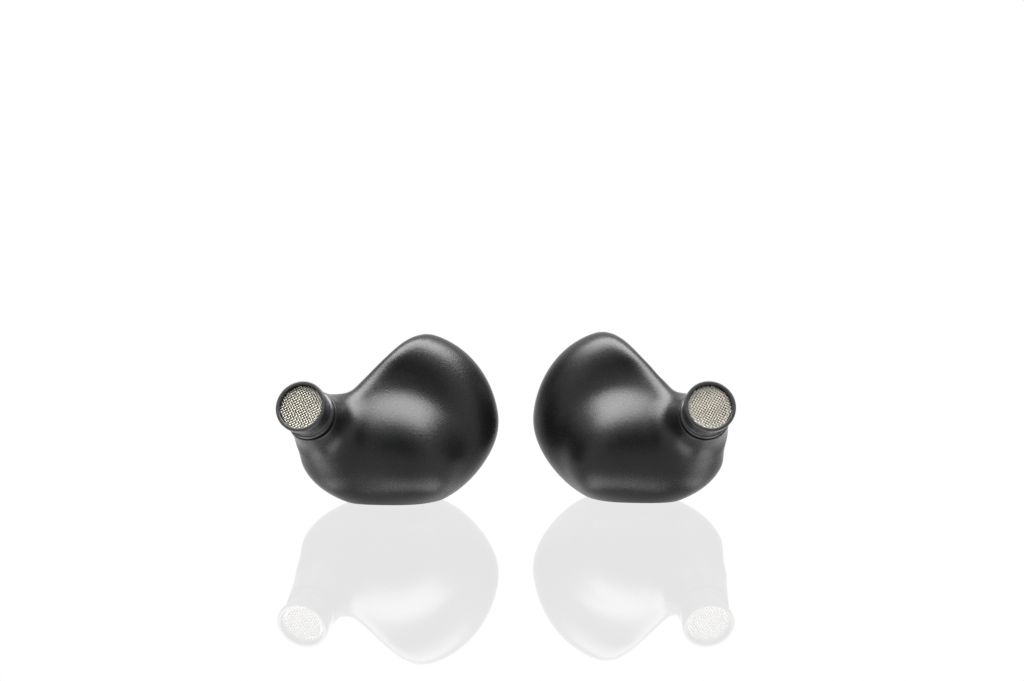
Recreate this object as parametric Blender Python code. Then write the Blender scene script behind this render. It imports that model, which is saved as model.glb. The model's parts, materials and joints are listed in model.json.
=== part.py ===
"""A pair of in-ear monitors, standing on their shells with the nozzles forward.

Each earpiece is modelled once, as the one for the right ear, in its own frame:
X to the right, Y away from the nozzle, Z up, the origin on the table below the body.
The one for the left ear is its mirror image, turned a little about the vertical.
Sizes are in millimetres and are scaled to metres when a mesh is made.
"""
import math

import bmesh
import bpy
import numpy as np
from mathutils import Euler, Matrix, Vector

MM = 0.001

# ---------------------------------------------------------------- places of the pair
RIGHT_PLACE = (-12.514, -0.439, 0.0)
LEFT_PLACE = (14.036, 1.361, 0.0)
LEFT_YAW = 9.5

# ---------------------------------------------------------------- nozzle
NOZZLE_AZIMUTH = 18.5
NOZZLE_ELEVATION = 24.0
LIP_CENTRE = (-11.05, -9.0, 12.8)
NOZZLE_LENGTH = 3.8
LIP_RADIUS = 3.02
LIP_LENGTH = 0.8
NECK_RADIUS = 2.7
COLLAR_RADIUS = 2.95
COLLAR_LENGTH = 0.6
COLLAR_GAP = 0.3
SPIGOT_RADIUS = 2.5
SPIGOT_LENGTH = 3.0
NOZZLE_BORE = 1.8
GRILLE_SEAT_RADIUS = 2.6
GRILLE_SEAT_DEPTH = 1.1
GRILLE_RADIUS = 2.5
GRILLE_THICKNESS = 0.22
GRILLE_RECESS = 0.4
SEAL_GROOVE_TOP = -1.1
SEAL_GROOVE_LENGTH = 0.75
SEAL_GROOVE_RADIUS = 2.0
SEAL_RADIUS = 2.32
SEAL_CORD = 0.25

# ---------------------------------------------------------------- shell
WALL = 0.9
ROOT_RADIUS = 3.05
ROOT_TAPER = 0.14
ROOT_REACH = 4.5
ROOT_BLEND = 2.4
ROOT_BORE = 2.62
ROOT_BORE_DEPTH = 3.4
BASE_YAW = 12.0
DISC_CENTRE = (1.7, 2.6, 8.2)
DISC_HALF = (10.75, 9.3, 11.8)
DISC_HALF_DOWN = 8.7
DISC_HALF_FRONT = 6.0
# outward direction, distance from the frame's origin, blend
FLANK_CUTS = (
    ((-0.69, 0.42, 0.72), 12.9, 2.0),
    ((0.80, 0.0, -0.60), 6.7, 3.0),
)
# centre, radius, blend
FRONT_CAP = ((8.0, 38.6, 7.5), 41.0, 1.0)
BACK_CAP = ((0.5, -24.0, 8.0), 32.0, 2.5)
# centre, half sizes, lean, blend
FRONT_LOBES = (
    ((-3.2, 0.7, 6.2), (8.2, 5.0, 5.8), 0.0, 5.0),
    ((1.2, -1.2, 6.1), (5.0, 3.8, 4.0), 46.0, 3.5),
)
REST_BLEND = 0.12

# the skin is cast outwards from a point that moves from the nozzle's axis into the body
CAST_DEPTH = 8.5
CAST_CENTRE = (-2.0, 1.5, 8.5)
CAST_SHIFT = (28.0, 150.0)
OUTER_RINGS = 20
OUTER_SIDES = 36
INNER_RINGS = 13
INNER_SIDES = 24

# ---------------------------------------------------------------- faceplate, in the base frame
PARTING = 6.0
SEAM = 0.3
PLATE_CENTRE = (1.7, 9.0)
PLATE_SIDES = 32
PLATE_DOME = (5.0, 10.0, 14.0, 19.0, 27.0, 42.0, 65.0)
RIM_OUTER = 2.6
RIM_INNER = 3.0
RIM_DEPTH = 0.5
POCKET_INSET = 4.0
POCKET_DEPTH = 0.6
VENT_PLACE = (-4.0, 5.0)
VENT_BORE = 0.4
VENT_SEAT = 0.8
VENT_SCREEN = 0.7

# ---------------------------------------------------------------- dynamic driver, base frame
DRIVER_PLACE = (3.4, 2.7, 7.8)
DRIVER_RADIUS = 4.0
HOLDER_RADIUS = 4.8

# ---------------------------------------------------------------- cable socket, earpiece frame
SOCKET_AIM = (-0.8, 1.7, 11.8)
SOCKET_AXIS = (-0.704, 0.247, 0.665)
SOCKET_RADIUS = 1.9
SOCKET_BORE = 1.35
SOCKET_RECESS = 0.3
SOCKET_LENGTH = 3.4

# ---------------------------------------------------------------- crossover, base frame
BOARD_CENTRE = (1.7, 5.6, 6.8)
BOARD_SIZE = (4.4, 0.5, 5.0)
CAPACITOR_CENTRE = (1.6, 4.8, 4.65)
CAPACITOR_SIZE = (1.6, 0.9, 0.6)

TURNED_SIDES = 20


# ================================================================ materials
def material(name, colour, roughness, metallic):
    made = bpy.data.materials.new(name)
    made.use_nodes = True
    shader = made.node_tree.nodes["Principled BSDF"]
    shader.inputs["Base Color"].default_value = (*colour, 1.0)
    shader.inputs["Roughness"].default_value = roughness
    shader.inputs["Metallic"].default_value = metallic
    made.diffuse_color = (*colour, 1.0)
    return made


def make_materials():
    table = {
        "black_anodised": ((0.030, 0.031, 0.033), 0.42, 0.6),
        "black_turned": ((0.022, 0.023, 0.024), 0.30, 0.7),
        "steel_cloth": ((0.62, 0.60, 0.56), 0.32, 1.0),
        "black_rubber": ((0.015, 0.015, 0.015), 0.75, 0.0),
        "brass": ((0.72, 0.52, 0.22), 0.30, 1.0),
        "gold_plate": ((0.90, 0.66, 0.26), 0.22, 1.0),
        "nickel_steel": ((0.55, 0.56, 0.57), 0.28, 1.0),
        "magnet_nickel": ((0.70, 0.70, 0.69), 0.22, 1.0),
        "copper_coil": ((0.72, 0.34, 0.16), 0.38, 1.0),
        "diaphragm_film": ((0.45, 0.43, 0.38), 0.30, 0.2),
        "resin": ((0.055, 0.058, 0.065), 0.50, 0.0),
        "clear_tube": ((0.012, 0.012, 0.012), 0.35, 0.0),
        "damper_cloth": ((0.16, 0.42, 0.24), 0.60, 0.0),
        "board_green": ((0.02, 0.17, 0.07), 0.45, 0.0),
        "tantalum": ((0.68, 0.42, 0.07), 0.45, 0.0),
        "insulator": ((0.86, 0.85, 0.81), 0.45, 0.0),
    }
    return {name: material(name, *values) for name, values in table.items()}


# ================================================================ frames
def unit(vector):
    vector = np.asarray(vector, float)
    return vector / np.linalg.norm(vector)


def nozzle_direction():
    azimuth = math.radians(NOZZLE_AZIMUTH)
    elevation = math.radians(NOZZLE_ELEVATION)
    level = math.cos(elevation)
    return np.array((-level * math.sin(azimuth), -level * math.cos(azimuth),
                     math.sin(elevation)))


NOZZLE_AXIS = nozzle_direction()
NOZZLE_SIDE = unit(np.cross((0.0, 0.0, 1.0), NOZZLE_AXIS))
NOZZLE_UP = np.cross(NOZZLE_AXIS, NOZZLE_SIDE)
JOINT_CENTRE = np.array(LIP_CENTRE) - NOZZLE_LENGTH * NOZZLE_AXIS


def frame_matrix(origin, x_axis, y_axis, z_axis):
    """Matrix of a frame whose origin is in millimetres."""
    rows = Matrix((x_axis, y_axis, z_axis)).transposed().to_4x4()
    return Matrix.Translation(Vector(origin) * MM) @ rows


def axis_frame(origin, axis):
    """Frame with +Z along the axis and +X level."""
    z_axis = unit(axis)
    x_axis = unit(np.cross(z_axis, (0.0, 0.0, 1.0)))
    y_axis = np.cross(z_axis, x_axis)
    return frame_matrix(origin, x_axis, y_axis, z_axis)


def base_rotation():
    c = math.cos(math.radians(BASE_YAW))
    s = math.sin(math.radians(BASE_YAW))
    return np.array(((c, -s, 0.0), (s, c, 0.0), (0.0, 0.0, 1.0)))


BASE_AXES = base_rotation()


def to_base(points):
    return np.asarray(points, float) @ BASE_AXES


def from_base(points):
    return np.asarray(points, float) @ BASE_AXES.T


# ================================================================ the shell's form
def smooth_min(a, b, k):
    h = np.clip(0.5 + 0.5 * (b - a) / k, 0.0, 1.0)
    return b * (1.0 - h) + a * h - k * h * (1.0 - h)


def smooth_max(a, b, k):
    return -smooth_min(-a, -b, k)


def lobe(points, centre, half, half_down=None, half_front=None, lean=0.0):
    """Near-distance to an ellipsoid that leans down to the right, in degrees. Its lower half
    and its front half may have their own sizes."""
    q = points - np.array(centre)
    if lean:
        cos, sin = math.cos(math.radians(lean)), math.sin(math.radians(lean))
        q = q @ np.array(((cos, 0.0, sin), (0.0, 1.0, 0.0), (-sin, 0.0, cos)))
    stretch = np.ones_like(q)
    if half_front is not None:
        stretch[..., 1] = np.where(q[..., 1] < 0.0, half[1] / half_front, 1.0)
    if half_down is not None:
        stretch[..., 2] = np.where(q[..., 2] < 0.0, half[2] / half_down, 1.0)
    q = q * stretch
    half = np.array(half)
    scaled = np.linalg.norm(q / half, axis=-1)
    slope = np.linalg.norm(q / half ** 2, axis=-1)
    return scaled * (scaled - 1.0) / np.maximum(slope, 1e-9)


def ball(points, centre, radius):
    return np.linalg.norm(points - np.array(centre), axis=-1) - radius


def from_nozzle(points):
    """Points of the nozzle's frame, in the earpiece's frame."""
    return JOINT_CENTRE + points @ np.stack((NOZZLE_SIDE, NOZZLE_UP, NOZZLE_AXIS))


def root_field(points):
    """Round neck under the nozzle, a little wider inwards, with a domed inner end."""
    q = points - JOINT_CENTRE
    along = np.maximum(q @ NOZZLE_AXIS, -ROOT_REACH)
    away = np.linalg.norm(q - along[..., None] * NOZZLE_AXIS, axis=-1)
    return away - (ROOT_RADIUS - ROOT_TAPER * np.minimum(along, 0.0))


def body_field(points):
    """Negative inside the closed body, positive outside, in millimetres."""
    base = to_base(points)
    field = lobe(base, DISC_CENTRE, DISC_HALF, DISC_HALF_DOWN, DISC_HALF_FRONT)
    field = smooth_max(field, ball(base, FRONT_CAP[0], FRONT_CAP[1]), FRONT_CAP[2])
    for centre, half, lean, blend in FRONT_LOBES:
        field = smooth_min(field, lobe(points, centre, half, lean=lean), blend)
    for direction, distance, blend in FLANK_CUTS:
        field = smooth_max(field, base @ unit(direction) - distance, blend)
    field = smooth_min(field, root_field(points), ROOT_BLEND)
    field = smooth_max(field, ball(base, BACK_CAP[0], BACK_CAP[1]), BACK_CAP[2])
    return smooth_max(field, -points[..., 2], REST_BLEND)


def hollow_field(points):
    """Negative in the hollow of the body, inside its wall."""
    return body_field(points) + WALL


def cast(field, origins, directions, reach):
    """First point along each ray, from inside outwards, where the field reaches zero."""
    near = np.zeros(directions.shape[:-1])
    far = near.copy()
    found = np.zeros(near.shape, bool)
    step = 0.1
    while step * 0.5 < reach.max() and not found.all():
        far = np.where(found, far, np.minimum(far + step, reach))
        value = field(origins + directions * far[..., None])
        hit = (value >= 0.0) | (far >= reach)
        near = np.where(found | hit, near, far)
        found = found | hit
        if found.all():
            break
    outside = field(origins + directions * far[..., None]) >= 0.0
    low = near
    high = far
    for _ in range(40):
        middle = 0.5 * (low + high)
        inside = field(origins + directions * middle[..., None]) < 0.0
        low = np.where(inside, middle, low)
        high = np.where(inside, high, middle)
    distance = np.where(outside, high, far)
    return origins + directions * distance[..., None]


def skin_rings(field, start_radius, start_depth, rings, sides):
    """Rings of points round the body, from a circle below the nozzle's joint to the far side."""
    first = math.atan(start_radius / (CAST_DEPTH - start_depth))
    angles = first + (math.pi - first) * np.linspace(0.0, 1.0, rings + 1)[:-1] ** 1.1
    turns = np.linspace(0.0, 2.0 * math.pi, sides, endpoint=False)
    angle, turn = np.meshgrid(angles, turns, indexing="ij")
    directions = (np.cos(angle)[..., None] * NOZZLE_AXIS
                  + (np.sin(angle) * np.cos(turn))[..., None] * NOZZLE_SIDE
                  + (np.sin(angle) * np.sin(turn))[..., None] * NOZZLE_UP)
    start, end = np.radians(CAST_SHIFT)
    share = np.clip((angle - start) / (end - start), 0.0, 1.0)
    share = share * share * (3.0 - 2.0 * share)
    near_nozzle = JOINT_CENTRE - CAST_DEPTH * NOZZLE_AXIS
    origins = near_nozzle + share[..., None] * (np.array(CAST_CENTRE) - near_nozzle)
    towards = directions @ NOZZLE_AXIS
    gap = (JOINT_CENTRE - start_depth * NOZZLE_AXIS - origins) @ NOZZLE_AXIS
    reach = np.where(towards > 0.05, gap / np.maximum(towards, 0.05), 60.0)
    return cast(field, origins, directions, np.minimum(reach, 60.0))


# ================================================================ mesh tools
def finish_mesh(name, bm, sharp_degrees=35.0):
    """Close the bmesh into a mesh in metres with its faces pointing out."""
    bmesh.ops.recalc_face_normals(bm, faces=bm.faces)
    bmesh.ops.scale(bm, vec=(MM, MM, MM), verts=bm.verts)
    mesh = bpy.data.meshes.new(name)
    bm.to_mesh(mesh)
    bm.free()
    mesh.shade_smooth()
    mesh.set_sharp_from_angle(angle=math.radians(sharp_degrees))
    return mesh


def add_rings(bm, rings, wrap=False):
    """Quads between consecutive rings of points; wrap joins the last ring to the first."""
    loops = [[bm.verts.new(point) for point in ring] for ring in rings]
    pairs = list(zip(loops, loops[1:]))
    if wrap:
        pairs.append((loops[-1], loops[0]))
    for low, high in pairs:
        for i in range(len(low)):
            j = (i + 1) % len(low)
            bm.faces.new((low[i], low[j], high[j], high[i]))
    return loops


def lofted(name, rings, sharp_degrees=35.0):
    """Solid between consecutive rings, closed by a flat face at each end."""
    bm = bmesh.new()
    loops = add_rings(bm, rings)
    bm.faces.new(loops[0])
    bm.faces.new(loops[-1])
    return finish_mesh(name, bm, sharp_degrees)


def circle(radius, height, sides, centre=(0.0, 0.0)):
    turns = np.linspace(0.0, 2.0 * math.pi, sides, endpoint=False)
    x = centre[0] + radius * np.cos(turns)
    y = centre[1] + radius * np.sin(turns)
    return np.stack((x, y, np.full(sides, height)), -1)


def turned_ring(name, profile, sides=TURNED_SIDES, centre=(0.0, 0.0)):
    """Ring turned about Z from a closed outline of (radius, height) points."""
    bm = bmesh.new()
    add_rings(bm, [circle(r, z, sides, centre) for r, z in profile], wrap=True)
    return finish_mesh(name, bm)


def turned_solid(name, profile, sides=TURNED_SIDES, centre=(0.0, 0.0)):
    """Solid turned about Z from (radius, height) points, flat at both ends."""
    return lofted(name, [circle(r, z, sides, centre) for r, z in profile])


def tube(name, outer, inner, low, high, sides=TURNED_SIDES, centre=(0.0, 0.0)):
    profile = ((outer, low), (outer, high), (inner, high), (inner, low))
    return turned_ring(name, profile, sides, centre)


def round_oblong(size, corner, height, centre, per_corner=3):
    """Ring of points round a rectangle with rounded corners, at one height."""
    points = []
    for quarter in range(4):
        sign_x = 1.0 if quarter in (0, 3) else -1.0
        sign_y = 1.0 if quarter in (0, 1) else -1.0
        corner_x = centre[0] + sign_x * (size[0] / 2.0 - corner)
        corner_y = centre[1] + sign_y * (size[1] / 2.0 - corner)
        for step in range(per_corner):
            turn = math.pi / 2.0 * (quarter + step / (per_corner - 1.0))
            points.append((corner_x + corner * math.cos(turn),
                           corner_y + corner * math.sin(turn), height))
    return np.array(points)


def box(name, size, centre):
    bm = bmesh.new()
    bmesh.ops.create_cube(bm, size=1.0)
    bmesh.ops.scale(bm, vec=size, verts=bm.verts)
    bmesh.ops.translate(bm, vec=centre, verts=bm.verts)
    bmesh.ops.bevel(bm, geom=bm.edges, offset=0.08, segments=1, affect="EDGES")
    return finish_mesh(name, bm)


# ================================================================ shell and faceplate
def open_edges_on(bm, point, normal):
    """Boundary edges that lie in one plane."""
    edges = []
    for edge in bm.edges:
        if not edge.is_boundary:
            continue
        reach = [abs(float(np.dot(np.array(v.co) - point, normal))) for v in edge.verts]
        if max(reach) < 1e-3:
            edges.append(edge)
    return edges


def shell_mesh():
    parting_point = from_base((0.0, PARTING, 0.0))
    parting_normal = from_base((0.0, 1.0, 0.0))
    bm = bmesh.new()
    add_rings(bm, skin_rings(body_field, ROOT_RADIUS, 0.0, OUTER_RINGS, OUTER_SIDES))
    bore = [circle(ROOT_BORE, height, INNER_SIDES) for height in (0.0, -ROOT_BORE_DEPTH)]
    hollow = skin_rings(hollow_field, ROOT_BORE, ROOT_BORE_DEPTH, INNER_RINGS, INNER_SIDES)
    add_rings(bm, [from_nozzle(ring) for ring in bore] + list(hollow[1:]))
    everything = list(bm.verts) + list(bm.edges) + list(bm.faces)
    bmesh.ops.bisect_plane(bm, geom=everything, plane_co=parting_point,
                           plane_no=parting_normal, clear_outer=True)
    for point, normal in ((parting_point, parting_normal), (JOINT_CENTRE, NOZZLE_AXIS)):
        edges = open_edges_on(bm, point, normal)
        bmesh.ops.triangle_fill(bm, edges=edges, use_beauty=True, normal=normal)
    return finish_mesh("shell", bm, 50.0)


def plate_ring(depth, inset=0.0, rise=0.0):
    """Outline of the body at one depth behind the parting plane, moved inwards by inset.
    Its rays start from the plate's centre, and rise tips them backwards, up the dome."""
    turns = np.linspace(0.0, 2.0 * math.pi, PLATE_SIDES, endpoint=False)
    level = math.cos(math.radians(rise))
    back = math.sin(math.radians(rise))
    directions = np.stack((level * np.cos(turns), np.full(PLATE_SIDES, back),
                           level * np.sin(turns)), -1)
    directions = from_base(directions)
    centre = from_base((PLATE_CENTRE[0], PARTING + depth, PLATE_CENTRE[1]))
    origins = np.tile(centre, (PLATE_SIDES, 1))
    outline = cast(body_field, origins, directions, np.full(PLATE_SIDES, 60.0))
    return outline - inset * directions


def raise_ring(ring, distance):
    return ring + distance * from_base((0.0, 1.0, 0.0))


def faceplate_mesh():
    inside = plate_ring(SEAM, RIM_INNER)
    outside = plate_ring(SEAM, RIM_OUTER)
    rings = [
        raise_ring(plate_ring(SEAM, POCKET_INSET), POCKET_DEPTH),
        inside,
        raise_ring(inside, -RIM_DEPTH - SEAM),
        raise_ring(outside, -RIM_DEPTH - SEAM),
        outside,
        plate_ring(SEAM),
    ]
    rings += [plate_ring(SEAM, 0.0, rise) for rise in PLATE_DOME]
    return lofted("faceplate", rings, 50.0)


def seal_mesh():
    """Flat gasket between the shell's rim and the faceplate."""
    gap = 0.05
    outer = plate_ring(gap, 0.2)
    inner = plate_ring(gap, 0.75)
    height = SEAM - 2.0 * gap
    bm = bmesh.new()
    rings = [outer, raise_ring(outer, height), raise_ring(inner, height), inner]
    add_rings(bm, rings, wrap=True)
    return finish_mesh("faceplate_seal", bm)


def vent_frame():
    """Frame at the faceplate's outer surface over the vent, +Z outwards."""
    inside = from_base(((VENT_PLACE[0], PARTING + SEAM, VENT_PLACE[1]),))
    outwards = from_base(((0.0, 1.0, 0.0),))
    surface = cast(body_field, inside, outwards, np.array((20.0,)))[0]
    return axis_frame(surface, outwards[0])


def socket_frame():
    """Frame at the cable socket's front face, +Z outwards."""
    axis = unit(SOCKET_AXIS)
    start = np.array((SOCKET_AIM,))
    surface = cast(body_field, start, axis[None, :], np.array((20.0,)))[0]
    return axis_frame(surface - SOCKET_RECESS * axis, axis)


# ================================================================ nozzle pieces, +Z outwards
def nozzle_mesh():
    lip_back = NOZZLE_LENGTH - LIP_LENGTH
    collar_front = COLLAR_GAP + COLLAR_LENGTH
    seat = NOZZLE_LENGTH - GRILLE_SEAT_DEPTH
    groove_end = SEAL_GROOVE_TOP - SEAL_GROOVE_LENGTH
    profile = (
        (SPIGOT_RADIUS, -SPIGOT_LENGTH),
        (SPIGOT_RADIUS, groove_end),
        (SEAL_GROOVE_RADIUS, groove_end),
        (SEAL_GROOVE_RADIUS, SEAL_GROOVE_TOP),
        (SPIGOT_RADIUS, SEAL_GROOVE_TOP),
        (SPIGOT_RADIUS, COLLAR_GAP),
        (COLLAR_RADIUS, COLLAR_GAP),
        (COLLAR_RADIUS, collar_front),
        (NECK_RADIUS, collar_front + 0.15),
        (NECK_RADIUS, lip_back - 0.1),
        (LIP_RADIUS, lip_back),
        (LIP_RADIUS, NOZZLE_LENGTH),
        (GRILLE_SEAT_RADIUS, NOZZLE_LENGTH),
        (GRILLE_SEAT_RADIUS, seat),
        (NOZZLE_BORE, seat),
        (NOZZLE_BORE, -SPIGOT_LENGTH),
    )
    return turned_ring("nozzle", profile, 24)


def grille_mesh():
    front = NOZZLE_LENGTH - GRILLE_RECESS
    profile = ((GRILLE_RADIUS, front - GRILLE_THICKNESS), (GRILLE_RADIUS, front))
    return turned_solid("nozzle_grille", profile, 24)


def grille_ring_mesh():
    low = NOZZLE_LENGTH - GRILLE_SEAT_DEPTH + 0.04
    high = NOZZLE_LENGTH - GRILLE_RECESS - GRILLE_THICKNESS - 0.04
    return tube("grille_ring", GRILLE_RADIUS, 2.1, low, high)


def nozzle_seal_mesh():
    middle = SEAL_GROOVE_TOP - SEAL_GROOVE_LENGTH / 2.0
    profile = []
    for step in range(6):
        turn = math.radians(60.0 * step)
        profile.append((SEAL_RADIUS + SEAL_CORD * math.cos(turn),
                        middle + SEAL_CORD * math.sin(turn)))
    return turned_ring("nozzle_seal", profile)


# ================================================================ armatures and their tubes
ARMATURE_FRONT = -6.2
# name: can centre, can size, can length, spout centre, spout radius
ARMATURES = {
    "mid": ((1.2, -1.65), (3.2, 2.4), 4.0, (0.45, -0.9), 0.42),
    "high": ((1.8, 0.6), (2.8, 1.8), 3.4, (0.85, 0.5), 0.42),
}
TUBE_OUTER = 0.7
TUBE_INNER = 0.5
TUBE_ENDS = (-5.95, 1.6)


def armature_mesh(kind):
    centre, size, length, spout, radius = ARMATURES[kind]
    sides = len(round_oblong(size, 0.3, 0.0, centre))
    quarter_shift = circle(radius, 0.0, sides, spout)
    rings = [
        round_oblong(size, 0.3, ARMATURE_FRONT - length, centre),
        round_oblong(size, 0.3, ARMATURE_FRONT, centre),
        quarter_shift + (0.0, 0.0, ARMATURE_FRONT),
        quarter_shift + (0.0, 0.0, ARMATURE_FRONT + 0.8),
    ]
    return lofted(f"{kind}_armature", rings)


def sound_tube_mesh(kind):
    low, high = TUBE_ENDS
    spout = ARMATURES[kind][3]
    return tube(f"{kind}_sound_tube", TUBE_OUTER, TUBE_INNER, low, high, 12, spout)


def damper_mesh():
    spout = ARMATURES["mid"][3]
    return tube("sound_damper", 0.45, 0.15, -0.9, 0.3, 12, spout)


# ================================================================ dynamic driver, +Z to the front
def driver_frame_mesh():
    profile = ((DRIVER_RADIUS, 0.1), (DRIVER_RADIUS, 1.25), (3.45, 1.25), (3.45, 0.6),
               (3.0, 0.6), (3.0, -0.5), (3.4, -0.5), (3.4, 0.1))
    return turned_ring("driver_frame", profile)


def driver_yoke_mesh():
    profile = ((2.9, -2.0), (2.9, 0.35), (2.4, 0.35), (2.4, -1.5), (0.35, -1.5), (0.35, -2.0))
    return turned_ring("driver_yoke", profile)


def driver_diaphragm_mesh():
    """Domed film with a rolled edge, of one thickness."""
    film = 0.08
    top = []
    for share in (0.12, 0.4, 0.7, 1.0):
        top.append((2.1 * share, 0.95 + 0.8 * (1.0 - share ** 2)))
    for share in (0.25, 0.5, 0.75, 1.0):
        top.append((2.25 + 1.05 * share, 0.95 + 0.45 * math.sin(math.pi * share)))
    rings = [circle(r, z + film, TURNED_SIDES) for r, z in top]
    rings += [circle(r, z, TURNED_SIDES) for r, z in reversed(top)]
    return lofted("driver_diaphragm", rings, 60.0)


def driver_cap_mesh():
    profile = ((DRIVER_RADIUS, 1.35), (DRIVER_RADIUS, 2.6), (1.2, 2.6), (1.2, 2.35),
               (3.7, 2.35), (3.7, 1.35))
    return turned_ring("driver_cap", profile)


# ================================================================ cable socket, +Z outwards
def socket_body_mesh():
    profile = ((SOCKET_RADIUS, -SOCKET_LENGTH), (SOCKET_RADIUS, 0.0), (SOCKET_BORE, 0.0),
               (SOCKET_BORE, -SOCKET_LENGTH))
    return turned_ring("socket_body", profile)


def socket_insulator_mesh():
    return tube("socket_insulator", SOCKET_BORE - 0.08, 0.5, -SOCKET_LENGTH, -2.3, 16)


def socket_contact_mesh():
    profile = ((0.42, -SOCKET_LENGTH - 0.5), (0.42, -0.6), (0.25, -0.45), (0.12, -0.45),
               (0.12, -1.6))
    rings = [circle(r, z, 10) for r, z in profile]
    return lofted("socket_contact", rings)


# ================================================================ the pieces of one earpiece
def make_meshes():
    """Every mesh of an earpiece: name -> (mesh, material, frame)."""
    return {
        "shell": (shell_mesh(), "black_anodised", "earpiece"),
        "faceplate": (faceplate_mesh(), "black_anodised", "earpiece"),
        "faceplate_seal": (seal_mesh(), "black_rubber", "earpiece"),
        "vent_screen": (turned_solid("vent_screen", ((VENT_SCREEN, -0.42), (VENT_SCREEN, -0.27)), 12),
                        "steel_cloth", "vent"),
        "nozzle": (nozzle_mesh(), "black_turned", "nozzle"),
        "nozzle_grille": (grille_mesh(), "steel_cloth", "nozzle"),
        "grille_ring": (grille_ring_mesh(), "nickel_steel", "nozzle"),
        "nozzle_seal": (nozzle_seal_mesh(), "black_rubber", "nozzle"),
        "mid_armature": (armature_mesh("mid"), "nickel_steel", "nozzle"),
        "high_armature": (armature_mesh("high"), "nickel_steel", "nozzle"),
        "mid_sound_tube": (sound_tube_mesh("mid"), "clear_tube", "nozzle"),
        "high_sound_tube": (sound_tube_mesh("high"), "clear_tube", "nozzle"),
        "sound_damper": (damper_mesh(), "damper_cloth", "nozzle"),
        "driver_holder": (tube("driver_holder", HOLDER_RADIUS, DRIVER_RADIUS + 0.1, 0.0, 1.3),
                          "resin", "driver"),
        "driver_frame": (driver_frame_mesh(), "brass", "driver"),
        "driver_yoke": (driver_yoke_mesh(), "nickel_steel", "driver"),
        "driver_magnet": (tube("driver_magnet", 1.75, 0.35, -1.44, -0.4, 16),
                          "magnet_nickel", "driver"),
        "driver_pole_plate": (tube("driver_pole_plate", 1.85, 0.35, -0.34, 0.3, 16),
                              "nickel_steel", "driver"),
        "driver_cap": (driver_cap_mesh(), "nickel_steel", "driver"),
        "driver_voice_coil": (tube("driver_voice_coil", 2.22, 2.0, -0.55, 0.85),
                              "copper_coil", "driver"),
        "driver_diaphragm": (driver_diaphragm_mesh(), "diaphragm_film", "driver"),
        "crossover_board": (box("crossover_board", BOARD_SIZE, BOARD_CENTRE),
                            "board_green", "base"),
        "board_capacitor": (box("board_capacitor", CAPACITOR_SIZE, CAPACITOR_CENTRE),
                            "tantalum", "base"),
        "socket_body": (socket_body_mesh(), "brass", "socket"),
        "socket_insulator": (socket_insulator_mesh(), "insulator", "socket"),
        "socket_contact": (socket_contact_mesh(), "gold_plate", "socket"),
    }


def make_frames():
    """Frames that the pieces are placed in, relative to their earpiece."""
    driver_origin = from_base(DRIVER_PLACE)
    base_axes = BASE_AXES.T
    return {
        "nozzle": frame_matrix(JOINT_CENTRE, NOZZLE_SIDE, NOZZLE_UP, NOZZLE_AXIS),
        "driver": axis_frame(driver_origin, from_base((0.0, -1.0, 0.0))),
        "socket": socket_frame(),
        "vent": vent_frame(),
        "base": frame_matrix((0.0, 0.0, 0.0), *base_axes),
    }


def add_empty(name, matrix, parent=None):
    made = bpy.data.objects.new(name, None)
    bpy.context.scene.collection.objects.link(made)
    made.empty_display_size = 2.0 * MM
    made.parent = parent
    made.matrix_local = matrix
    return made


def add_piece(name, mesh, parent):
    made = bpy.data.objects.new(name, mesh)
    bpy.context.scene.collection.objects.link(made)
    made.parent = parent
    return made


def add_cutter(piece, name, mesh, parent):
    """Hidden tool that cuts the piece."""
    tool = add_piece(name, mesh, parent)
    tool.hide_render = True
    tool.display_type = "WIRE"
    cut = piece.modifiers.new("cut", "BOOLEAN")
    cut.operation = "DIFFERENCE"
    cut.solver = "EXACT"
    cut.object = tool


def add_earpiece(side, placing, meshes, frames, materials, cutters):
    earpiece = add_empty(f"{side}_earpiece", placing)
    parents = {"earpiece": earpiece}
    for frame_name, matrix in frames.items():
        parents[frame_name] = add_empty(f"{side}_{frame_name}_axis", matrix, earpiece)
    pieces = {}
    for name, (mesh, material_name, frame_name) in meshes.items():
        if not mesh.materials:
            mesh.materials.append(materials[material_name])
        pieces[name] = add_piece(f"{side}_{name}", mesh, parents[frame_name])
    for name, (mesh, frame_name) in cutters.items():
        add_cutter(pieces[name], f"{side}_{name}_cutter", mesh, parents[frame_name])


def clear_scene():
    for old in list(bpy.data.objects):
        bpy.data.objects.remove(old, do_unlink=True)


def main():
    clear_scene()
    meshes = make_meshes()
    cutters = {
        "shell": (turned_solid("socket_cutter", ((2.0, -4.0), (2.0, 0.0), (2.3, 0.0),
                                                 (2.3, 3.0)), 24), "socket"),
        "faceplate": (turned_solid("vent_cutter", ((VENT_BORE, -4.0), (VENT_BORE, -0.5),
                                                   (VENT_SEAT, -0.5), (VENT_SEAT, 1.0)), 12),
                      "vent"),
    }
    frames = make_frames()
    materials = make_materials()
    right = Matrix.Translation(Vector(RIGHT_PLACE) * MM)
    mirror = Matrix.Diagonal((-1.0, 1.0, 1.0, 1.0))
    turn = Euler((0.0, 0.0, math.radians(LEFT_YAW))).to_matrix().to_4x4()
    left = Matrix.Translation(Vector(LEFT_PLACE) * MM) @ mirror @ turn
    add_earpiece("right", right, meshes, frames, materials, cutters)
    add_earpiece("left", left, meshes, frames, materials, cutters)


main()
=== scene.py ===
"""Looks of the pair of in-ear monitors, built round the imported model.

Each earpiece is made once, in the right-ear piece's own frame and in millimetres:
X to the right, Y away from the nozzle, Z up, the origin on the table below the body.
place() turns that into metres in the shared frame, mirrored for the left-ear piece.
"""
import json
import math

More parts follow.
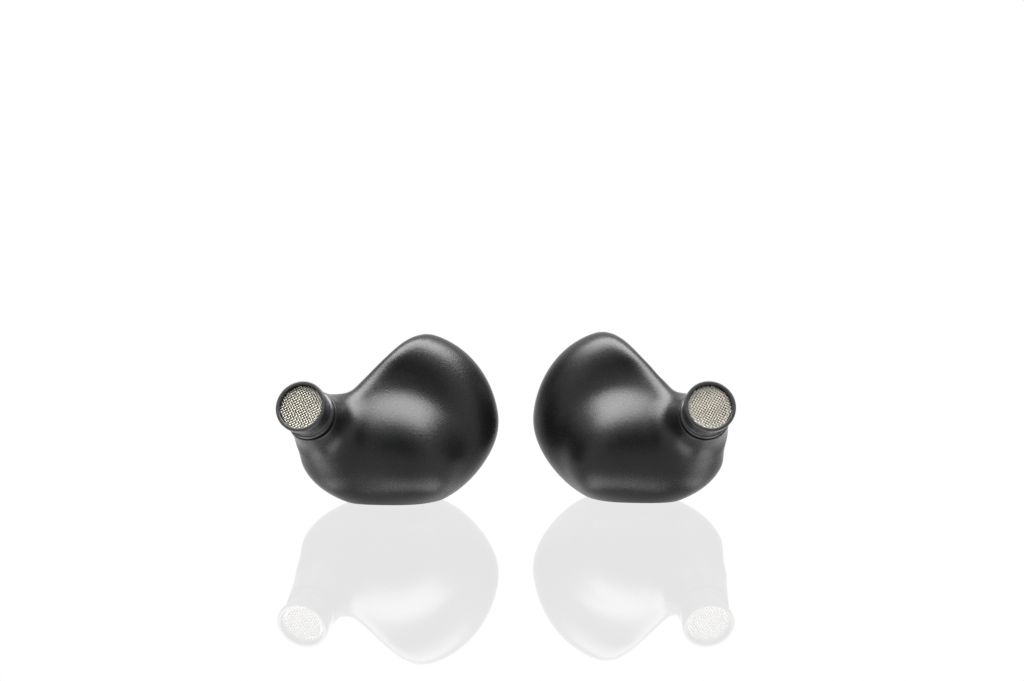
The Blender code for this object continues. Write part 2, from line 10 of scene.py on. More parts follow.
import bmesh
import bpy
import numpy as np
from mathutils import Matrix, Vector


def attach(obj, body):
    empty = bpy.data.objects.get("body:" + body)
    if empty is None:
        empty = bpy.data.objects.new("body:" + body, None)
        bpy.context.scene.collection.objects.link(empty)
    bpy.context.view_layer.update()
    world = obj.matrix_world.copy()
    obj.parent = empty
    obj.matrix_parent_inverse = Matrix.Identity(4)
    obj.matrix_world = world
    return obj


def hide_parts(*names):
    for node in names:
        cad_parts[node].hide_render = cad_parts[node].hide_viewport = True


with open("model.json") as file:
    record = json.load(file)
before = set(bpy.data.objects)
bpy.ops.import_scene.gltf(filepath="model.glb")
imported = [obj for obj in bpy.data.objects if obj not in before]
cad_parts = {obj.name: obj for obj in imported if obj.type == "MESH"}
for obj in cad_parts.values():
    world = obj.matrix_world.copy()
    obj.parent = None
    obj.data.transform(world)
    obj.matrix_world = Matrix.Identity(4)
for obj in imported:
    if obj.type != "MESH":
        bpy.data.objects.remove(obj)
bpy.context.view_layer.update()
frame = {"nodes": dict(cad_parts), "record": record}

MM = 0.001
RECORD = frame["record"]
MOUNTS = {mount["name"]: mount for mount in RECORD["mounts"]}
JOINTS = {joint["name"]: joint for joint in RECORD["behaviour"]["joints"]}
SIDES = ("right", "left")

# ---------------------------------------------------------------- shape of the body, as in the CAD
NOZZLE_AZIMUTH = 18.5
NOZZLE_ELEVATION = 24.0
LIP_CENTRE = (-11.05, -9.0, 12.8)
NOZZLE_LENGTH = 3.8
REST_POINT = (-0.6, 1.9, 0.0)
WALL = 0.9
ROOT_RADIUS = 3.05
ROOT_TAPER = 0.14
ROOT_REACH = 4.5
ROOT_BLEND = 2.4
ROOT_BORE = 2.62
ROOT_BORE_DEPTH = 3.4
BASE_YAW = 12.0
DISC_CENTRE = (1.7, 2.6, 8.2)
DISC_HALF = (10.75, 9.3, 11.8)
DISC_HALF_DOWN = 8.7
DISC_HALF_FRONT = 6.0
FLANK_CUTS = (
    ((-0.69, 0.42, 0.72), 12.9, 2.0),
    ((0.80, 0.0, -0.60), 6.7, 3.0),
)
FRONT_CAP = ((8.0, 38.6, 7.5), 41.0, 1.0)
BACK_CAP = ((0.5, -24.0, 8.0), 32.0, 2.5)
FRONT_LOBES = (
    ((-3.2, 0.7, 6.2), (8.2, 5.0, 5.8), 0.0, 5.0),
    ((1.2, -1.2, 6.1), (5.0, 3.8, 4.0), 46.0, 3.5),
)
REST_BLEND = 0.12
CAST_DEPTH = 8.5
CAST_CENTRE = (-2.0, 1.5, 8.5)
CAST_SHIFT = (28.0, 150.0)
PARTING = 6.0
SEAM = 0.3
PLATE_CENTRE = (1.7, 9.0)
VENT_PLACE = (-4.0, 5.0)
SOCKET_AIM = (-0.8, 1.7, 11.8)
SOCKET_AXIS = (-0.704, 0.247, 0.665)
SOCKET_RECESS = 0.3
SOCKET_LENGTH = 3.4

# ---------------------------------------------------------------- fineness of the visual meshes
SKIN_SIDES = 160
SKIN_RINGS = 110
HOLLOW_RINGS = 24
DOME_RINGS = 44
RING_CROWDING = 1.1       # above 1 the skin's rings stand closer together by the nozzle
DOME_CROWDING = 1.5       # and the plate's dome rings by its outline
TURNED_SIDES = 96
SMALL_SIDES = 64
EDGE = 0.12               # radius of the shell's and the plate's edges
EDGE_STEPS = 4
CORNER_POINTS = 4
LONGEST_CORNER = 0.45     # of a profile's side
RAY_STEP = 0.15
RAY_HALVINGS = 26
SEARCH_ANGLES = (60.0, 176.0, 60)     # first, last and number, for the ring at the parting
SEARCH_HALVINGS = 22
FAR = 60.0                # a ray's length where nothing limits it


# ================================================================ frames
def unit(vector):
    vector = np.asarray(vector, float)
    return vector / np.linalg.norm(vector)


def nozzle_direction():
    azimuth = math.radians(NOZZLE_AZIMUTH)
    elevation = math.radians(NOZZLE_ELEVATION)
    level = math.cos(elevation)
    return np.array((-level * math.sin(azimuth), -level * math.cos(azimuth),
                     math.sin(elevation)))


NOZZLE_AXIS = nozzle_direction()
NOZZLE_SIDE = unit(np.cross((0.0, 0.0, 1.0), NOZZLE_AXIS))
NOZZLE_UP = np.cross(NOZZLE_AXIS, NOZZLE_SIDE)
JOINT_CENTRE = np.array(LIP_CENTRE) - NOZZLE_LENGTH * NOZZLE_AXIS

_turn = math.radians(BASE_YAW)
BASE_AXES = np.array(((math.cos(_turn), math.sin(_turn), 0.0),
                      (-math.sin(_turn), math.cos(_turn), 0.0),
                      (0.0, 0.0, 1.0)))


def to_base(points):
    return np.asarray(points, float) @ BASE_AXES.T


def from_base(points):
    return np.asarray(points, float) @ BASE_AXES


def axes_along(axis):
    """Rows x, y, z of a frame whose z is the axis."""
    z = unit(axis)
    x = unit(np.cross((0.0, 0.0, 1.0), z))
    return np.stack((x, np.cross(z, x), z))


def in_frame(points, origin, axes):
    return np.asarray(origin) + np.asarray(points, float) @ axes


NOZZLE = (JOINT_CENTRE, np.stack((NOZZLE_SIDE, NOZZLE_UP, NOZZLE_AXIS)))


def placings():
    """Each side's place in the shared frame, from the record: turn, mirror and offset."""
    found = {}
    own_axis = from_base((0.0, -1.0, 0.0))
    own_turn = math.atan2(own_axis[1], own_axis[0])
    for side in SIDES:
        flip = -1.0 if side == "left" else 1.0
        axis = JOINTS[f"{side}_diaphragm_stroke"]["axis"]
        turn = math.atan2(axis[1], flip * axis[0]) - own_turn
        cos, sin = math.cos(turn), math.sin(turn)
        turned_by = np.array(((cos, -sin, 0), (sin, cos, 0), (0, 0, 1)))
        matrix = np.diag((flip, 1.0, 1.0)) @ turned_by
        rest = np.array(MOUNTS[f"{side}_table_rest"]["pos_m"]) / MM
        found[side] = (matrix, rest - matrix @ np.array(REST_POINT))
    return found


PLACES = placings()


# ================================================================ the body's formula
def smooth_min(a, b, k):
    h = np.clip(0.5 + 0.5 * (b - a) / k, 0.0, 1.0)
    return b * (1.0 - h) + a * h - k * h * (1.0 - h)


def smooth_max(a, b, k):
    return -smooth_min(-a, -b, k)


def lobe(points, centre, half, half_down=None, half_front=None, lean=0.0):
    """Near-distance to an ellipsoid that leans down to the right, in degrees. Its lower half
    and its front half may have their own sizes."""
    q = points - np.array(centre)
    if lean:
        cos, sin = math.cos(math.radians(lean)), math.sin(math.radians(lean))
        q = q @ np.array(((cos, 0.0, sin), (0.0, 1.0, 0.0), (-sin, 0.0, cos)))
    stretch = np.ones_like(q)
    if half_front is not None:
        stretch[..., 1] = np.where(q[..., 1] < 0.0, half[1] / half_front, 1.0)
    if half_down is not None:
        stretch[..., 2] = np.where(q[..., 2] < 0.0, half[2] / half_down, 1.0)
    q = q * stretch
    half = np.array(half)
    scaled = np.linalg.norm(q / half, axis=-1)
    slope = np.linalg.norm(q / half ** 2, axis=-1)
    return scaled * (scaled - 1.0) / np.maximum(slope, 1e-9)


def ball(points, centre, radius):
    return np.linalg.norm(points - np.array(centre), axis=-1) - radius


def root_field(points):
    """Round neck under the nozzle, a little wider inwards, with a domed inner end."""
    q = points - JOINT_CENTRE
    along = np.maximum(q @ NOZZLE_AXIS, -ROOT_REACH)
    away = np.linalg.norm(q - along[..., None] * NOZZLE_AXIS, axis=-1)
    return away - (ROOT_RADIUS - ROOT_TAPER * np.minimum(along, 0.0))


def body_field(points):
    """Negative inside the closed body, positive outside, in millimetres."""
    base = to_base(points)
    field = lobe(base, DISC_CENTRE, DISC_HALF, DISC_HALF_DOWN, DISC_HALF_FRONT)
    field = smooth_max(field, ball(base, FRONT_CAP[0], FRONT_CAP[1]), FRONT_CAP[2])
    for centre, half, lean, blend in FRONT_LOBES:
        field = smooth_min(field, lobe(points, centre, half, lean=lean), blend)
    for direction, distance, blend in FLANK_CUTS:
        field = smooth_max(field, base @ unit(direction) - distance, blend)
    field = smooth_min(field, root_field(points), ROOT_BLEND)
    field = smooth_max(field, ball(base, BACK_CAP[0], BACK_CAP[1]), BACK_CAP[2])
    return smooth_max(field, -points[..., 2], REST_BLEND)


def gradient(points):
    step = 1e-3
    slopes = []
    for axis in np.eye(3):
        ahead = body_field(points + step * axis)
        behind = body_field(points - step * axis)
        slopes.append((ahead - behind) / (2.0 * step))
    slope = np.stack(slopes, -1)
    return slope / np.linalg.norm(slope, axis=-1, keepdims=True)


def cast(level, origins, directions, reach):
    """Where each ray from inside first meets the surface at that depth under the skin."""
    near = np.zeros(directions.shape[:-1])
    far = near.copy()
    found = np.zeros(near.shape, bool)
    while not found.all():
        far = np.where(found, far, np.minimum(far + RAY_STEP, reach))
        value = body_field(origins + directions * far[..., None]) + level
        hit = (value >= 0.0) | (far >= reach)
        near = np.where(found | hit, near, far)
        found = found | hit
    low, high = near, far
    for _ in range(RAY_HALVINGS):
        middle = 0.5 * (low + high)
        inside = body_field(origins + directions * middle[..., None]) + level < 0.0
        low = np.where(inside, middle, low)
        high = np.where(inside, high, middle)
    return origins + directions * high[..., None]


def skin_points(level, angle, turn, start_depth):
    """Points of the skin at polar angle and turn about the nozzle's axis."""
    directions = (np.cos(angle)[..., None] * NOZZLE_AXIS
                  + (np.sin(angle) * np.cos(turn))[..., None] * NOZZLE_SIDE
                  + (np.sin(angle) * np.sin(turn))[..., None] * NOZZLE_UP)
    start, end = np.radians(CAST_SHIFT)
    share = np.clip((angle - start) / (end - start), 0.0, 1.0)
    share = share * share * (3.0 - 2.0 * share)
    near_nozzle = JOINT_CENTRE - CAST_DEPTH * NOZZLE_AXIS
    origins = near_nozzle + share[..., None] * (np.array(CAST_CENTRE) - near_nozzle)
    towards = directions @ NOZZLE_AXIS
    gap = (JOINT_CENTRE - start_depth * NOZZLE_AXIS - origins) @ NOZZLE_AXIS
    reach = np.where(towards > 0.05, gap / np.maximum(towards, 0.05), FAR)
    return cast(level, origins, directions, np.minimum(reach, FAR))


def skin_rings(level, radius, depth, end, rings):
    """Rings from a circle below the nozzle's joint to the plane base y = end."""
    turns = np.linspace(0.0, 2.0 * math.pi, SKIN_SIDES, endpoint=False)
    first = math.atan(radius / (CAST_DEPTH - depth))
    lowest, highest, count = SEARCH_ANGLES
    coarse = np.linspace(math.radians(lowest), math.radians(highest), count)
    angle, turn = np.meshgrid(coarse, turns, indexing="ij")
    height = to_base(skin_points(level, angle, turn, depth))[..., 1]
    crossed = np.argmax(height > end, axis=0)
    low, high = coarse[crossed - 1], coarse[crossed]
    for _ in range(SEARCH_HALVINGS):
        middle = 0.5 * (low + high)
        over = to_base(skin_points(level, middle, turns, depth))[..., 1] > end
        high = np.where(over, middle, high)
        low = np.where(over, low, middle)
    share = np.linspace(0.0, 1.0, rings + 1) ** RING_CROWDING
    angle = first + share[:, None] * (high - first)[None, :]
    turn = np.tile(turns, (rings + 1, 1))
    return skin_points(level, angle, turn, depth)


# ================================================================ mesh tools
def place(side, points):
    matrix, offset = PLACES[side]
    return (np.asarray(points, float) @ matrix.T + offset) * MM


class Shape:
    """Points and faces of one piece, in millimetres, with one UV pair per face corner."""

    def __init__(self):
        self.points = []
        self.faces = []
        self.uvs = []

    def rings(self, rings, wrap=False, uv_size=1.0):
        start = sum(len(p) for p in self.points)
        count = len(rings[0])
        for ring in rings:
            self.points.append(np.asarray(ring, float))
        steps = [0.0]
        for a, b in zip(rings, rings[1:]):
            steps.append(steps[-1] + float(np.linalg.norm(np.mean(np.abs(b - a), axis=0))))
        last = len(rings) if wrap else len(rings) - 1
        for r in range(last):
            low = start + r * count
            high = start + ((r + 1) % len(rings)) * count
            v0 = steps[r]
            v1 = steps[r + 1] if r + 1 < len(steps) else steps[r] + 0.1
            for i in range(count):
                j = (i + 1) % count
                self.faces.append((low + i, low + j, high + j, high + i))
                u0, u1 = i / count * uv_size, (i + 1) / count * uv_size
                self.uvs.append(((u0, v0), (u1, v0), (u1, v1), (u0, v1)))
        if not wrap:
            for r, flip in ((0, True), (len(rings) - 1, False)):
                loop = [start + r * count + i for i in range(count)]
                loop = loop[::-1] if flip else loop
                self.faces.append(tuple(loop))
                self.uvs.append(tuple((0.0, 0.0) for _ in loop))
        return self

    def build(self, name, side, sharp=40.0):
        points = place(side, np.concatenate(self.points))
        mesh = bpy.data.meshes.new(name)
        mesh.from_pydata([tuple(p) for p in points], [], self.faces)
        layer = mesh.uv_layers.new(name="surface")
        flat = [value for face in self.uvs for corner in face for value in corner]
        layer.data.foreach_set("uv", flat)
        bm = bmesh.new()
        bm.from_mesh(mesh)
        bmesh.ops.recalc_face_normals(bm, faces=bm.faces)
        bm.to_mesh(mesh)
        bm.free()
        mesh.shade_smooth()
        mesh.set_sharp_from_angle(angle=math.radians(sharp))
        made = bpy.data.objects.new(name, mesh)
        bpy.context.scene.collection.objects.link(made)
        return made


def circle(radius, height, sides=TURNED_SIDES, centre=(0.0, 0.0)):
    turns = np.linspace(0.0, 2.0 * math.pi, sides, endpoint=False)
    return np.stack((centre[0] + radius * np.cos(turns), centre[1] + radius * np.sin(turns),
                     np.full(sides, height)), -1)


def rounded(profile):
    """The closed profile of radius, height and corner size, with each corner a small arc."""
    out = []
    for i, (radius, height, size) in enumerate(profile):
        point = np.array((radius, height))
        before = np.array(profile[i - 1][:2]) - point
        after = np.array(profile[(i + 1) % len(profile)][:2]) - point
        before_length, after_length = np.linalg.norm(before), np.linalg.norm(after)
        reach = min(size, LONGEST_CORNER * before_length, LONGEST_CORNER * after_length)
        start = point + before / before_length * reach
        end = point + after / after_length * reach
        for s in np.linspace(0.0, 1.0, CORNER_POINTS):
            out.append(tuple((1 - s) ** 2 * start + 2 * s * (1 - s) * point + s ** 2 * end))
    return out


def turned(profile, origin, axes, sides=TURNED_SIDES, closed=True):
    rings = [in_frame(circle(r, z, sides), origin, axes) for r, z in profile]
    return Shape().rings(rings, wrap=closed)


# ================================================================ materials
def shader_of(name):
    material = bpy.data.materials.new(name)
    material.use_nodes = True
    return material, material.node_tree.nodes, material.node_tree.links


def noise(nodes, links, scale, detail=3.0, source="Object", stretch=(1.0, 1.0, 1.0)):
    coordinates = nodes.new("ShaderNodeTexCoord")
    mapping = nodes.new("ShaderNodeMapping")
    mapping.inputs["Scale"].default_value = stretch
    texture = nodes.new("ShaderNodeTexNoise")
    texture.inputs["Scale"].default_value = scale
    texture.inputs["Detail"].default_value = detail
    links.new(coordinates.outputs[source], mapping.inputs["Vector"])
    links.new(mapping.outputs["Vector"], texture.inputs["Vector"])
    return texture.outputs["Fac"]


def ramp(nodes, links, fac, low, high, start=0.35, end=0.65):
    made = nodes.new("ShaderNodeMapRange")
    made.inputs["From Min"].default_value = start
    made.inputs["From Max"].default_value = end
    made.inputs["To Min"].default_value = low
    made.inputs["To Max"].default_value = high
    links.new(fac, made.inputs["Value"])
    return made.outputs["Result"]


def mixed(nodes, links, fac, first, second):
    made = nodes.new("ShaderNodeMix")
    made.data_type = "RGBA"
    made.inputs["A"].default_value = (*first, 1.0)
    made.inputs["B"].default_value = (*second, 1.0)
    links.new(fac, made.inputs["Factor"])
    return made.outputs["Result"]


def bump(nodes, links, height, strength, distance):
    made = nodes.new("ShaderNodeBump")
    made.inputs["Strength"].default_value = strength
    made.inputs["Distance"].default_value = distance
    links.new(height, made.inputs["Height"])
    return made.outputs["Normal"]


def surface(name, first, second, rough, metallic, grain_scale, grain_depth, specular=0.5,
            patch_scale=180.0, source="Object", stretch=(1.0, 1.0, 1.0)):
    """A finish with two colours that drift into each other, uneven gloss and a fine grain."""
    material, nodes, links = shader_of(name)
    shader = nodes["Principled BSDF"]
    patches = noise(nodes, links, patch_scale, 4.0)
    grain = noise(nodes, links, grain_scale, 2.0, source, stretch)
    links.new(mixed(nodes, links, ramp(nodes, links, patches, 0.0, 1.0), first, second),
              shader.inputs["Base Color"])
    links.new(ramp(nodes, links, grain, rough[0], rough[1]), shader.inputs["Roughness"])
    links.new(bump(nodes, links, grain, 1.0, grain_depth), shader.inputs["Normal"])
    shader.inputs["Metallic"].default_value = metallic
    shader.inputs["Specular IOR Level"].default_value = specular
    return material


def make_finishes():
    """Finish of every slot in the record, by slot name: two colours, roughness from and to,
    metallic, scale and depth of the grain."""
    made = {}

    def add(slot, *values, **options):
        made[slot] = surface(f"finish_{slot}", *values, **options)

    add("black_anodised", (0.0022, 0.0023, 0.0025), (0.0034, 0.0035, 0.0038), (0.25, 0.33), 0.0,
        9000.0, 0.000024, specular=0.33, patch_scale=260.0)
    add("black_turned", (0.008, 0.008, 0.009), (0.012, 0.012, 0.013), (0.20, 0.30), 0.0,
        900.0, 0.000004, source="UV", stretch=(0.02, 12.0, 1.0))
    add("steel_cloth", (0.46, 0.44, 0.39), (0.37, 0.35, 0.30), (0.36, 0.48), 1.0, 9000.0, 0.000003)
    add("black_rubber", (0.012, 0.012, 0.012), (0.020, 0.020, 0.020), (0.62, 0.80), 0.0,
        5000.0, 0.00001)
    add("brass", (0.70, 0.49, 0.20), (0.60, 0.42, 0.18), (0.20, 0.34), 1.0, 6000.0, 0.000004)
    add("gold_plate", (0.92, 0.68, 0.27), (0.86, 0.60, 0.22), (0.16, 0.26), 1.0, 6000.0, 0.000003)
    add("nickel_steel", (0.56, 0.56, 0.55), (0.47, 0.47, 0.47), (0.24, 0.38), 1.0,
        5000.0, 0.000005)
    add("magnet_nickel", (0.68, 0.68, 0.66), (0.60, 0.60, 0.60), (0.18, 0.28), 1.0,
        4000.0, 0.000004)
    add("copper_coil", (0.74, 0.35, 0.16), (0.62, 0.27, 0.12), (0.30, 0.45), 1.0, 8000.0, 0.00001,
        stretch=(1.0, 0.05, 1.0))
    add("diaphragm_film", (0.50, 0.48, 0.42), (0.42, 0.40, 0.35), (0.24, 0.36), 0.2,
        4000.0, 0.000005)
    add("resin", (0.050, 0.052, 0.060), (0.065, 0.068, 0.074), (0.46, 0.60), 0.0, 5000.0, 0.00001)
    add("clear_tube", (0.010, 0.010, 0.010), (0.015, 0.015, 0.015), (0.30, 0.45), 0.0,
        3000.0, 0.000004)
    add("damper_cloth", (0.14, 0.40, 0.22), (0.18, 0.46, 0.27), (0.55, 0.75), 0.0, 9000.0, 0.00002)
    add("board_green", (0.018, 0.15, 0.06), (0.024, 0.19, 0.08), (0.35, 0.50), 0.0,
        6000.0, 0.000006)
    add("tantalum", (0.66, 0.40, 0.06), (0.72, 0.46, 0.09), (0.40, 0.52), 0.0, 6000.0, 0.000006)
    add("insulator", (0.84, 0.83, 0.79), (0.88, 0.87, 0.84), (0.38, 0.50), 0.0, 6000.0, 0.000005)
    return made


FINISHES = make_finishes()


def dress(piece, slot, body, *nodes):
    """Give the new piece its finish, its body and the CAD nodes that it stands for."""
    piece.data.materials.clear()
    piece.data.materials.append(FINISHES[slot])
    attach(piece, body)
    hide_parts(*nodes)


def paint_cad_nodes():
    slots = {part["node"]: part["material_slot"] for part in RECORD["subparts"]}
    for name, node in frame["nodes"].items():
        if not node.material_slots:
            node.data.materials.append(None)
        for holder in node.material_slots:
            holder.link = "OBJECT"
            holder.material = FINISHES[slots[name]]


# ================================================================ shell
def rolled_edge(ring, inwards, outwards):
    """Rings of a quarter-round from the ring, turning towards inwards while rising outwards."""
    rings = []
    for step in range(1, EDGE_STEPS + 1):
        turn = 0.5 * math.pi * step / EDGE_STEPS
        rings.append(ring + EDGE * (1.0 - math.cos(turn)) * inwards
                     + EDGE * math.sin(turn) * outwards)
    return rings


def in_plane_inwards(ring, normal):
    slope = gradient(ring)
    flat = slope - (slope @ normal)[:, None] * normal
    return -flat / np.linalg.norm(flat, axis=1, keepdims=True)


def ring_about_nozzle(radius, depth):
    """A circle below the joint whose points line up with the skin's."""
    return in_frame(circle(radius, -depth, SKIN_SIDES), *NOZZLE)


def shell_rings():
    back = from_base((0.0, 1.0, 0.0))
    outer = list(skin_rings(0.0, ROOT_RADIUS, EDGE, PARTING - EDGE, SKIN_RINGS))
    root_edge = []
    for step in range(EDGE_STEPS):
        turn = 0.5 * math.pi * step / EDGE_STEPS
        root_edge.append(ring_about_nozzle(ROOT_RADIUS - EDGE + EDGE * math.sin(turn),
                                           EDGE * (1.0 - math.cos(turn))))
    outer[0] = ring_about_nozzle(ROOT_RADIUS + ROOT_TAPER * EDGE, EDGE)
    rim = rolled_edge(outer[-1], in_plane_inwards(outer[-1], back), back)
    hollow = list(skin_rings(WALL, ROOT_BORE, ROOT_BORE_DEPTH, PARTING, HOLLOW_RINGS))[1:]
    bore = [ring_about_nozzle(ROOT_BORE, 0.0), ring_about_nozzle(ROOT_BORE, ROOT_BORE_DEPTH)]
    return root_edge + outer + rim + hollow[::-1] + bore[::-1]


SHELL = Shape().rings(shell_rings(), wrap=True, uv_size=60.0)


def socket_frame():
    axis = unit(SOCKET_AXIS)
    start = np.array((SOCKET_AIM,))
    surface_point = cast(0.0, start, axis[None, :], np.array((FAR,)))[0]
    return surface_point - SOCKET_RECESS * axis, axes_along(axis)


def vent_frame():
    inside = from_base(((VENT_PLACE[0], PARTING + SEAM, VENT_PLACE[1]),))
    outwards = from_base(((0.0, 1.0, 0.0),))
    point = cast(0.0, inside, outwards, np.array((FAR,)))[0]
    return point, axes_along(outwards[0])


SOCKET = socket_frame()
VENT = vent_frame()
# radius and height of what is taken out of the shell and the plate, bottom first
SOCKET_CUT = ((2.0, -4.0), (2.0, 0.0), (2.3, 0.0), (2.42, 3.0))
VENT_CUT = ((0.4, -4.0), (0.4, -0.5), (0.8, -0.5), (0.86, 1.0))


def cut(piece, side, profile, origin, axes):
    """Take a turned solid out of the piece."""
    tool = turned(profile, origin, axes, SMALL_SIDES, closed=False)
    tool = tool.build(f"{piece.name}_cut", side)
    step = piece.modifiers.new("cut", "BOOLEAN")
    step.operation = "DIFFERENCE"
    step.solver = "EXACT"
    step.object = tool
    graph = bpy.context.evaluated_depsgraph_get()
    mesh = bpy.data.meshes.new_from_object(piece.evaluated_get(graph))
    piece.modifiers.clear()
    piece.data = mesh
    bpy.data.objects.remove(tool, do_unlink=True)
    mesh.set_sharp_from_angle(angle=math.radians(40.0))


def add_shell(side):
    piece = SHELL.build(f"{side}_shell_body", side, 50.0)
    cut(piece, side, SOCKET_CUT, *SOCKET)
    dress(piece, "black_anodised", f"{side}_earpiece", f"{side}_shell")


# ================================================================ faceplate
def plate_rings():
    turns = np.linspace(0.0, 2.0 * math.pi, SKIN_SIDES, endpoint=False)
    flat = np.stack((np.cos(turns), np.zeros_like(turns), np.sin(turns)), -1)
    back = from_base((0.0, 1.0, 0.0))
    front = PARTING + SEAM
    origin = from_base((PLATE_CENTRE[0], front, PLATE_CENTRE[1]))

    def ring(rise, depth=0.0):
        level, lift = math.cos(rise), math.sin(rise)
        directions = from_base(level * flat + np.array((0.0, lift, 0.0)))
        origins = np.tile(origin + depth * back, (SKIN_SIDES, 1))
        return cast(0.0, origins, directions, np.full(SKIN_SIDES, FAR))

    outline = ring(0.0, EDGE)
    inwards = in_plane_inwards(outline, back)
    edge = rolled_edge(outline, inwards, -back)[::-1]
    floor = [origin + (edge[0] - origin) * share for share in (0.02, 0.5)]
    rises = np.radians(90.0 * np.linspace(0.0, 1.0, DOME_RINGS + 1)[1:-1] ** DOME_CROWDING)
    dome = [ring(rise, EDGE) for rise in rises]
    return floor + edge + [outline] + dome


PLATE = Shape().rings(plate_rings(), uv_size=60.0)


def add_plate(side):
    piece = PLATE.build(f"{side}_back_plate", side, 50.0)
    cut(piece, side, VENT_CUT, *VENT)
    dress(piece, "black_anodised", f"{side}_earpiece", f"{side}_faceplate")


# ================================================================ nozzle
NOZZLE_PROFILE = (
    (2.5, -3.0, 0.15), (2.5, -1.85, 0.05), (2.0, -1.85, 0.05), (2.0, -1.1, 0.05),
    (2.5, -1.1, 0.05), (2.5, 0.3, 0.02), (2.95, 0.3, 0.10), (2.95, 0.9, 0.10),
    (2.70, 1.02, 0.10), (2.70, 2.88, 0.12), (3.02, 3.02, 0.08), (3.02, 3.8, 0.10),
    (2.6, 3.8, 0.07), (2.6, 2.7, 0.02), (1.8, 2.7, 0.04), (1.8, -3.0, 0.05),
)


def add_nozzle(side):
    shape = turned(rounded(NOZZLE_PROFILE), *NOZZLE)
    piece = shape.build(f"{side}_nozzle_body", side, 60.0)
    dress(piece, "black_turned", f"{side}_earpiece", f"{side}_nozzle")


# ================================================================ wire cloth
def wire(points, radius, sides=6):
    """Closed tube along the points, in its own frame; the points run mainly in one plane."""
    points = np.asarray(points, float)
    along = np.gradient(points, axis=0)
    along /= np.linalg.norm(along, axis=1, keepdims=True)
    across = np.cross(along, (0.0, 0.0, 1.0))
    across /= np.linalg.norm(across, axis=1, keepdims=True)
    over = np.cross(across, along)
    turns = np.linspace(0.0, 2.0 * math.pi, sides, endpoint=False)
    return [p + radius * (np.cos(turns)[:, None] * a + np.sin(turns)[:, None] * o)
            for p, a, o in zip(points, across, over)]


CLOTH_RISE = 1.04         # of a wire's radius, so that crossing wires stay just clear
CLOTH_POINTS = 6          # along a wire, in each pitch


def wire_cloth(radius, height, pitch, wire_radius, turn):
    """Plain-woven round cloth about the frame's z axis: lists of wire rings."""
    rise = wire_radius * CLOTH_RISE
    count = int(radius / pitch)
    cos, sin = math.cos(math.radians(turn)), math.sin(math.radians(turn))
    wires = []
    for family in (0, 1):
        for i in range(-count, count + 1):
            offset = (i + 0.5) * pitch
            if abs(offset) >= radius - wire_radius:
                continue
            half = math.sqrt(radius ** 2 - offset ** 2)
            steps = max(int(2.0 * half / pitch * CLOTH_POINTS), 8)
            run = np.linspace(-half, half, steps)
            sign = (-1.0) ** i * (1.0 if family == 0 else -1.0)
            lift = rise * sign * np.sin(math.pi * run / pitch)
            aside = np.full_like(run, offset)
            a, b = (run, aside) if family == 0 else (aside, run)
            x, y = cos * a - sin * b, sin * a + cos * b
            wires.append(wire(np.stack((x, y, height + lift), -1), wire_radius))
    return wires


GRILLE = wire_cloth(2.56, 3.29, 0.28, 0.066, 33.0)


def add_grille(side):
    shape = Shape()
    for rings in GRILLE:
        shape.rings([in_frame(ring, *NOZZLE) for ring in rings])
    piece = shape.build(f"{side}_wire_cloth", side, 60.0)
    dress(piece, "steel_cloth", f"{side}_earpiece", f"{side}_nozzle_grille")


# ================================================================ cable socket and vent
SOCKET_PROFILE = (
    (1.9, -SOCKET_LENGTH, 0.1), (1.9, 0.0, 0.12), (1.35, 0.0, 0.10), (1.35, -0.9, 0.02),
    (1.42, -0.95, 0.02), (1.42, -1.15, 0.02), (1.35, -1.2, 0.02), (1.35, -SOCKET_LENGTH, 0.05),
)
INSULATOR_PROFILE = ((1.27, -SOCKET_LENGTH, 0.05), (1.27, -2.3, 0.08), (0.5, -2.3, 0.06),
                     (0.5, -SOCKET_LENGTH, 0.05))
CONTACT_PROFILE = ((0.42, -3.9), (0.42, -0.62), (0.40, -0.52), (0.32, -0.46), (0.2, -0.45),
                   (0.13, -0.5), (0.12, -1.6))


def add_socket(side):
    parts = (
        ("socket_ring", rounded(SOCKET_PROFILE), True, "brass", "socket_body"),
        ("socket_core", rounded(INSULATOR_PROFILE), True, "insulator", "socket_insulator"),
        ("socket_pin", CONTACT_PROFILE, False, "gold_plate", "socket_contact"),
    )
    for name, profile, closed, slot, node in parts:
        shape = turned(profile, *SOCKET, SMALL_SIDES, closed)
        piece = shape.build(f"{side}_{name}", side, 50.0)
        dress(piece, slot, f"{side}_earpiece", f"{side}_{node}")


VENT_CLOTH = wire_cloth(0.72, -0.36, 0.12, 0.026, 20.0)


def add_vent(side):
    shape = Shape()
    for rings in VENT_CLOTH:
        shape.rings([in_frame(ring, *VENT) for ring in rings])
    piece = shape.build(f"{side}_vent_cloth", side, 60.0)
    dress(piece, "steel_cloth", f"{side}_earpiece", f"{side}_vent_screen")


# ================================================================ studio
FLOOR_SIZE = 8.0
FLOOR_HEIGHT = -0.00002
FLOOR_GLOSS = 0.22
FLOOR_ROUGHNESS = 0.02


